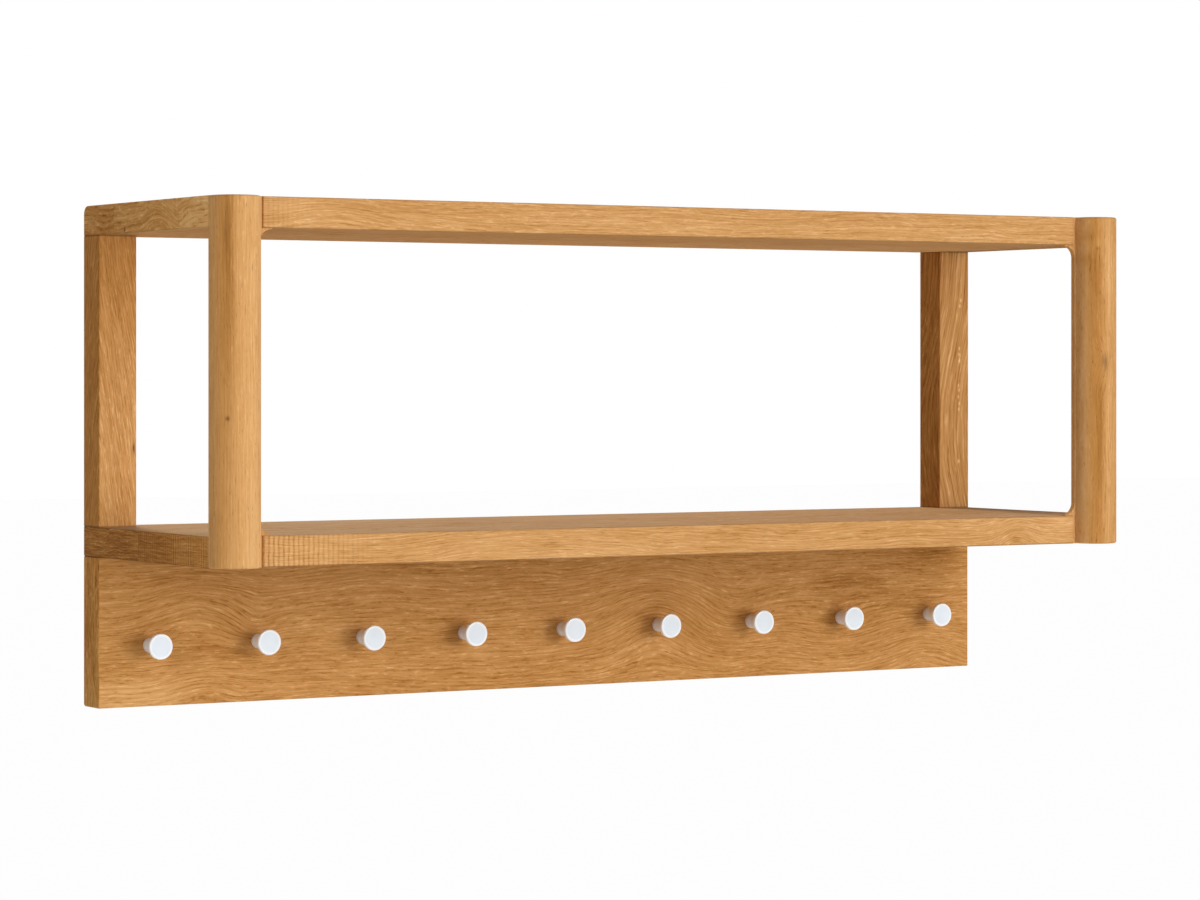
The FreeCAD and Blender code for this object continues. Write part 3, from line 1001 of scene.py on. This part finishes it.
@dataclass
class Frame:
    """The uprights at the wall and the half-round posts in front, in millimetres.

    Args:
        front: Where the uprights' front faces lie.
        nose: Where the posts' noses end.
        bay: Heights of the bay's upper and lower face.
    """

    front: float = -35.0
    nose: float = -296.0
    bay: Pair = (45.0, -225.0)

    def build(self) -> None:
        """Dress uprights and posts."""
        front, nose = self.front, self.nose
        dress(("rear_upright_left",), OakFinish(
            "oak_upright_left", Grain.POST, pith=(-700, -120), ring=2.5, seed=11,
            slant=0.14, figure=12, contrast=1.05, seams=self.bay, oil=0.24,
            deep=(
                # Painted shade: the outer face and the front under the top board deeper in
                # colour.
                Blob((-500, 0, 0), (0.8, 0, 0), 0.7),
                Blob((0, front, 40), (0, 3, 90), 0.3),
            ),
            tints_and_painted_light=(
                # Painted shade: the outer face darker, and the front darker under the top
                # board.
                Blob((-500, 0, 0), (0.8, 0, 0), -0.12),
                Blob((0, front, 30), (0, 3, 60), -0.07),
                Blob((0, front, -140), (0, 3, 70), 0.03),
            ),
            spots=(Blob((-465, front, -152), (1.2, 4, 4.5), 0.8),),
        ).build())
        dress(("rear_upright_right",), OakFinish(
            "oak_upright_right", Grain.POST, pith=(300, 60), ring=3.6, seed=14,
            figure=9, tone=-0.06, seams=self.bay, oil=0, stretch=2.4,
            swells=(Blob((0, 0, -142), (0, 0, 130), -27),),
            tints_and_painted_light=(
                # Painted shade: the inner face in the bay darker, and the front darker under
                # the top board.
                Blob((462, 0, 0), (0.8, 0, 0), -0.15),
                Blob((0, front, 30), (0, 3, 60), -0.05),
            ) + tuple(
                Blob((across, front, height), (1.1, 3, 1.9), 0.4)
                for across, height in (
                    (488, -57), (487.4, -63), (488.2, -70), (487, -96),
                    (487.6, -101), (486.8, -108), (487.8, -115), (487.2, -121),
                    (490, -6), (488.6, -12), (487, -176),
                )
            ),
            # Painted shade: the inner face in the bay deeper in colour.
            deep=(Blob((462, 0, 0), (0.8, 0, 0), 0.45),),
        ).build())
        dress(("front_post_left",), OakFinish(
            "oak_post_left", Grain.POST, pith=(-680, -200), ring=2.8, seed=17,
            figure=7, tone=0.03, contrast=0.45, oil=0.15,
            tints_and_painted_light=(
                # Painted shade: a dark band where the round turns away from the light.
                Blob((-491.5, 0, 0), (5, 0, 150), -0.19),
                # Painted light: a lighter band where the round faces the light.
                Blob((-468, 0, 0), (9, 0, 0), 0.06),
                # Painted shade in the corner above the shelf.
                Blob((-446, -273.5, -219), (8, 4, 9), -0.14),
            ),
            # Painted shade: the left flank deeper in colour.
            deep=(Blob((-495.5, 0, 0), (3.5, 0, 0), 0.4),),
            spots=(
                Blob((-493, -290, 44), (2.2, 5, 26), 0.3),
                Blob((-492, -289, -122), (1.4, 4, 2.2), 0.8),
            ),
        ).build())
        dress(("front_post_right",), OakFinish(
            "oak_post_right", Grain.POST, pith=(300, -330), ring=3.6, seed=21,
            figure=10, tone=-0.05, contrast=0.55, oil=0,
            # Painted shade: the left of the round deeper in colour.
            deep=(Blob((463, 0, 0), (10, 0, 0), 0.65),),
            swells=(Blob((474, 0, -72), (9, 0, 22), 6),),
            tints_and_painted_light=(
                # Painted light: the left edge lighter.
                Blob((456, 0, 0), (5, 0, 0), 0.2),
                Blob((468, 0, -150), (4, 0, 80), -0.16),
                Blob((464, 0, 10), (6, 0, 36), -0.1),
                Blob((459, 0, 54), (4.5, 0, 6), -0.12),
                Blob((458, 0, 31), (4, 0, 8), -0.12),
                Blob((467, 0, 47), (3, 0, 7), 0.08),
                # Painted highlight: a light band down the front of the nose.
                Blob((478, nose, 0), (3.5, 3, 0), 0.07),
                Blob((480, 0, 10), (9, 0, 30), 0.06),
            ),
            spots=(
                Blob((474, nose, -72), (3.6, 8, 8), 0.5),
                Blob((466, -293, 41.5), (1.2, 5, 1.8), 0.35),
            ),
        ).build())


@dataclass
class PegRail:
    """The peg board and its nine turned pegs, sizes in millimetres.

    Args:
        half_length: Half the board's length.
        top: Height of its upper edge.
        front: Where its front face lies.
        count: Number of pegs.
        pitch: Distance between pegs.
        height: Height of the peg axes.
        bore: Radius of the screw hole in a peg.
        bore_depth: Depth of that hole.
        foot: Chamfer where the neck meets the board.
        stem: Radius of the neck.
        stem_length: Length of the neck.
        flare_length: Length of the hollow flare.
        flare_hollow: Radius of the flare's hollow.
        flare_end: Radius where the flare ends.
        swell_length: Length of the swell that follows.
        head: Radius of the head.
        length: Whole length.
        edge: Rounding of the face's edge.
        steps: Points on the flare, the swell, the edge and the face.
        around: Faces round a peg.
    """

    half_length: float = 500.0
    top: float = -253.0
    front: float = -34.0
    count: int = 9
    pitch: float = 112.0
    height: float = -336.0
    bore: float = 2.35
    bore_depth: float = 14.5
    foot: float = 0.3
    stem: float = 7.25
    stem_length: float = 10.0
    flare_length: float = 10.5
    flare_hollow: float = 30.0
    flare_end: float = 11.4
    swell_length: float = 1.6
    head: float = 12.0
    length: float = 25.0
    edge: float = 1.1
    steps: Tuple[int, int, int, int] = (24, 6, 10, 12)
    around: int = 96

    def build(self) -> None:
        """Dress the board, then turn the pegs."""
        dress(("peg_board",), self.board_oak().build())
        paint = PaintFinish(
            "white_peg_paint", face=self.front - self.length, height=self.height,
            pitch=self.pitch, face_radius=self.head - self.edge * 1.9,
        ).build()
        form, faces = turned_form(self.profile(), self.around)
        for index in range(self.count):
            centre = (index - (self.count - 1) / 2) * self.pitch
            place = np.array((centre, self.front, self.height))
            points = (place + form * (1.0, -1.0, 1.0)) * MM
            piece = new_piece(f"turned_peg_{index + 1}", points, faces, paint)
            self.set_peg(index + 1, piece)

    def board_oak(self) -> OakFinish:
        """Oak of the peg board: wide arches round two hearts, painted shade under the shelf
        at the right.

        Returns:
            The finish.
        """
        return OakFinish(
            "oak_peg_board", Grain.RAIL, pith=(-640, 60), ring=3.6, seed=1,
            figure=12, tone=-0.07, contrast=0.88, end=self.half_length, end_tone=0.02,
            seams=(self.top,),
            swells=(
                Blob((-400, 0, -300), (50, 0, 30), 15),
                Blob((-338, 0, -316), (24, 0, 20), -9),
                Blob((-230, 0, -288), (70, 0, 26), 7),
                Blob((-392, 0, -376), (36, 0, 18), 10),
                Blob((110, 0, -328), (58, 0, 52), 26),
                Blob((200, 0, -330), (46, 0, 40), -12),
                Blob((330, 0, -352), (60, 0, 34), -12),
                Blob((440, 0, -376), (50, 0, 26), 15),
            ),
            tints_and_painted_light=(
                Blob((-460, 0, -385), (60, 0, 22), 0.14),
                Blob((-250, 0, -310), (80, 0, 40), 0.04),
                # Painted shade: the top darker under the shelf towards the right.
                Blob((350, self.front, -298), (34, 9, 10), -0.12),
                Blob((455, self.front, -272), (34, 9, 12), -0.16),
            ),
        )

    def profile(self) -> np.ndarray:
        """Half section of a peg from the bore's end to the middle of its face.

        The flare is an arc of the hollow's radius through both its ends, and the swell a
        quarter of a sine wave. The face's edge is a quarter circle, and the face is flat.

        Returns:
            Rows of radius and distance from the board, in millimetres.
        """
        flare_steps, swell_steps, edge_steps, face_steps = self.steps
        start, end = self.stem_length, self.stem_length + self.flare_length
        chord = np.array([self.flare_end - self.stem, end - start])
        half = np.linalg.norm(chord) / 2
        normal = np.array([chord[1], -chord[0]]) / (2 * half)
        middle = np.array([(self.stem + self.flare_end) / 2, (start + end) / 2])
        centre = middle + normal * math.sqrt(self.flare_hollow ** 2 - half ** 2)
        first = math.atan2(start - centre[1], self.stem - centre[0]) % FULL_TURN
        last = math.atan2(end - centre[1], self.flare_end - centre[0]) % FULL_TURN
        angle = np.linspace(first, last, flare_steps)
        flare = centre + self.flare_hollow * np.column_stack((np.cos(angle), np.sin(angle)))
        swell = np.linspace(0.0, 1.0, swell_steps)[1:-1]
        swelling = np.column_stack((
            self.flare_end + (self.head - self.flare_end) * np.sin(swell * math.pi / 2),
            end + self.swell_length * swell,
        ))
        turn = np.linspace(0.0, math.pi / 2, edge_steps)
        rim = np.column_stack((
            self.head - self.edge + self.edge * np.cos(turn),
            self.length - self.edge + self.edge * np.sin(turn),
        ))
        radius = np.linspace(self.head - self.edge, 0.0, face_steps)[1:]
        face = np.column_stack((radius, np.full_like(radius, self.length)))
        base = np.array([
            (0, self.bore_depth), (self.bore, self.bore_depth), (self.bore, 0),
            (self.stem - self.foot, 0), (self.stem, self.foot),
            (self.stem, self.stem_length * 0.5),
        ])
        widest = np.array([(self.head, end + self.swell_length)])
        return np.vstack((base, flare, swelling, widest, rim, face))

    @staticmethod
    def set_peg(number: int, piece: bpy.types.Object) -> None:
        """Let a turned peg stand for its solid.

        Args:
            number: The peg's number, from the left.
            piece: The turned peg.
        """
        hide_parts(f"peg_{number}")
        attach(piece, "root")


@dataclass
class Joinery:
    """What holds the shelf together and to the wall.

    Args:
        dowels: The dowels.
        hardware: The screws and the hanger plates.
    """

    dowels: Tuple[str, ...] = ("upright_dowels", "peg_board_dowels", "post_dowels")
    hardware: Tuple[str, ...] = (
        "peg_screws", "hanger_screws", "hanger_plate_left", "hanger_plate_right")

    def build(self) -> None:
        """Dress the hidden parts."""
        dress(self.dowels, BeechFinish("beech_dowel").build())
        dress(self.hardware, ZincFinish("zinc_plate").build())


# Studio

WHITE = (1.0, 1.0, 1.0, 1.0)
FLOOR_GREY = (0.86, 0.86, 0.85, 1.0)
SHELF_MIDDLE, RIGHT_HALF = (0.0, -0.15, -0.16), (0.42, -0.15, -0.16)
LEFT_CORNER = (-0.5, -0.27, -0.1)
WIDE_BOX = (4.4, 3.2)


@dataclass(frozen=True)
class SoftBox:
    """One soft box of the studio, in metres.

    Args:
        name: The lamp's name.
        target: The point that it faces.
        azimuth: Degrees to the right of straight in front.
        elevation: Degrees above the horizon.
        away: Distance from the target.
        size: Width and height.
        watts: Power.
        sheen: Whether it shows in glossy surfaces.
    """

    name: str
    target: Triple
    azimuth: float
    elevation: float
    away: float
    size: Pair
    watts: float
    sheen: bool = True

    def hang(self) -> None:
        """Hang the box in the direction of its two angles, facing its target."""
        data = bpy.data.lights.new(self.name, "AREA")
        data.shape = "RECTANGLE"
        data.size, data.size_y = self.size
        data.energy = self.watts
        item = bpy.data.objects.new(self.name, data)
        bpy.context.scene.collection.objects.link(item)
        turn, rise = math.radians(self.azimuth), math.radians(self.elevation)
        out = Vector((math.sin(turn) * math.cos(rise), -math.cos(turn) * math.cos(rise),
                      math.sin(rise)))
        item.location = Vector(self.target) + out * self.away
        item.rotation_mode = "QUATERNION"
        item.rotation_quaternion = (-out).to_track_quat("-Z", "Y")
        item.visible_camera = False
        item.visible_glossy = self.sheen
        LOG.info("%s of %.0f W hangs %.1f m away", self.name, self.watts, self.away)


@dataclass
class Studio:
    """Floor, light and camera, in metres.

    Args:
        floor_height: Height of the floor, in the part's frame.
        floor_reach: Half the floor's width.
        floor_glow: How far the floor turns to plain white where it is seen.
        surround: Strength of the even light from all around.
        frame: Width and height of the view, in points.
        focal: Focal length, in the same points.
        principal: The point that the camera faces.
        sensor: Width of the camera's sensor, in millimetres.
        turn: How far the view turns to the right of straight on, in degrees.
        eye: Where the camera stands.
        boxes: The soft boxes, the last two behind the shelf.
    """

    floor_height: float = -1.65
    floor_reach: float = 40.0
    floor_glow: float = 0.985
    surround: float = 0.14
    frame: Pair = (1200.0, 900.0)
    focal: float = 3837.33
    principal: Pair = (582.36, 370.15)
    sensor: float = 36.0
    turn: float = 31.16
    eye: Triple = (-1.9529, -3.30129, -0.07982)
    boxes: Tuple[SoftBox, ...] = (
        SoftBox("front_box", SHELF_MIDDLE, 10, 3, 7, WIDE_BOX, 72),
        SoftBox("right_box", SHELF_MIDDLE, 30, 3, 7, WIDE_BOX, 196),
        SoftBox("high_box", SHELF_MIDDLE, 12, 28, 7, WIDE_BOX, 166),
        SoftBox("left_card", LEFT_CORNER, -62, 2, 0.9, (0.6, 0.7), 3.3),
        SoftBox("wall_glow_high", RIGHT_HALF, 180, 38, 3.5, (0.9, 1), 112, False),
        SoftBox("wall_glow_low", RIGHT_HALF, 180, -40, 2.2, (0.7, 0.8), 45, False),
    )

    def build(self) -> None:
        """Set up the whole studio."""
        self.lay_floor()
        self.light()
        self.stand_camera()

    @staticmethod
    def seen(shader: Shader) -> Value:
        """One for rays that show the background: camera, glossy and transmission rays.

        Args:
            shader: The material or world in the making.

        Returns:
            One or zero.
        """
        path = shader.node("LightPath", {}, {})
        rays = [Value(shader, path.outputs[name])
                for name in ("Is Camera Ray", "Is Glossy Ray", "Is Transmission Ray")]
        return rays[0].math("MAXIMUM", rays[1]).math("MAXIMUM", rays[2])

    def lay_floor(self) -> None:
        """Lay a wide pale floor that still takes the object's shadow."""
        shader = Shader.named("pale_floor")
        plain = shader.node("BsdfDiffuse", {}, {"Color": FLOOR_GREY})
        glow = shader.node("Emission", {}, {"Color": WHITE})
        both = shader.node("MixShader", {}, {
            0: self.seen(shader) * self.floor_glow, 1: plain.outputs[0], 2: glow.outputs[0]})
        shader.node("OutputMaterial", {}, {"Surface": both.outputs[0]})
        corners = np.array([(-1, -1), (1, -1), (1, 1), (-1, 1)], float) * self.floor_reach
        points = np.column_stack((corners, np.full(len(corners), self.floor_height)))
        new_piece("floor", points, [(0, 1, 2, 3)], shader.owner)

    def light(self) -> None:
        """Light the shelf with an even pale surround and the soft boxes."""
        world = bpy.data.worlds.new("pale_surround")
        bpy.context.scene.world = world
        shader = Shader(world)
        strength = self.seen(shader) * (1.0 - self.surround) + self.surround
        glow = shader.node("Background", {}, {"Color": WHITE, "Strength": strength})
        shader.node("OutputWorld", {}, {"Surface": glow.outputs[0]})
        for box in self.boxes:
            box.hang()

    def stand_camera(self) -> None:
        """Place the level camera and frame the shelf by its shift."""
        width, height = self.frame
        data = bpy.data.cameras.new("camera")
        data.sensor_fit = "HORIZONTAL"
        data.sensor_width = self.sensor
        data.lens = self.focal / width * self.sensor
        data.shift_x = (width / 2 - self.principal[0]) / width
        data.shift_y = (self.principal[1] - height / 2) / width
        data.clip_start, data.clip_end = 0.05, 200.0
        item = bpy.data.objects.new("camera", data)
        bpy.context.scene.collection.objects.link(item)
        item.location = self.eye
        item.rotation_euler = (math.pi / 2, 0.0, -math.radians(self.turn))
        bpy.context.scene.camera = item
        LOG.info("the camera's lens is %.1f mm", data.lens)


def main() -> None:
    """Build the shelf's looks and the studio."""
    logging.basicConfig(level=logging.INFO, format="%(message)s")
    bpy.context.scene.view_settings.view_transform = "Standard"
    for part in (Boards(), Frame(), PegRail(), Joinery(), Studio()):
        part.build()
        LOG.info("built %s", type(part).__name__)


if __name__ == "__main__":
    main()
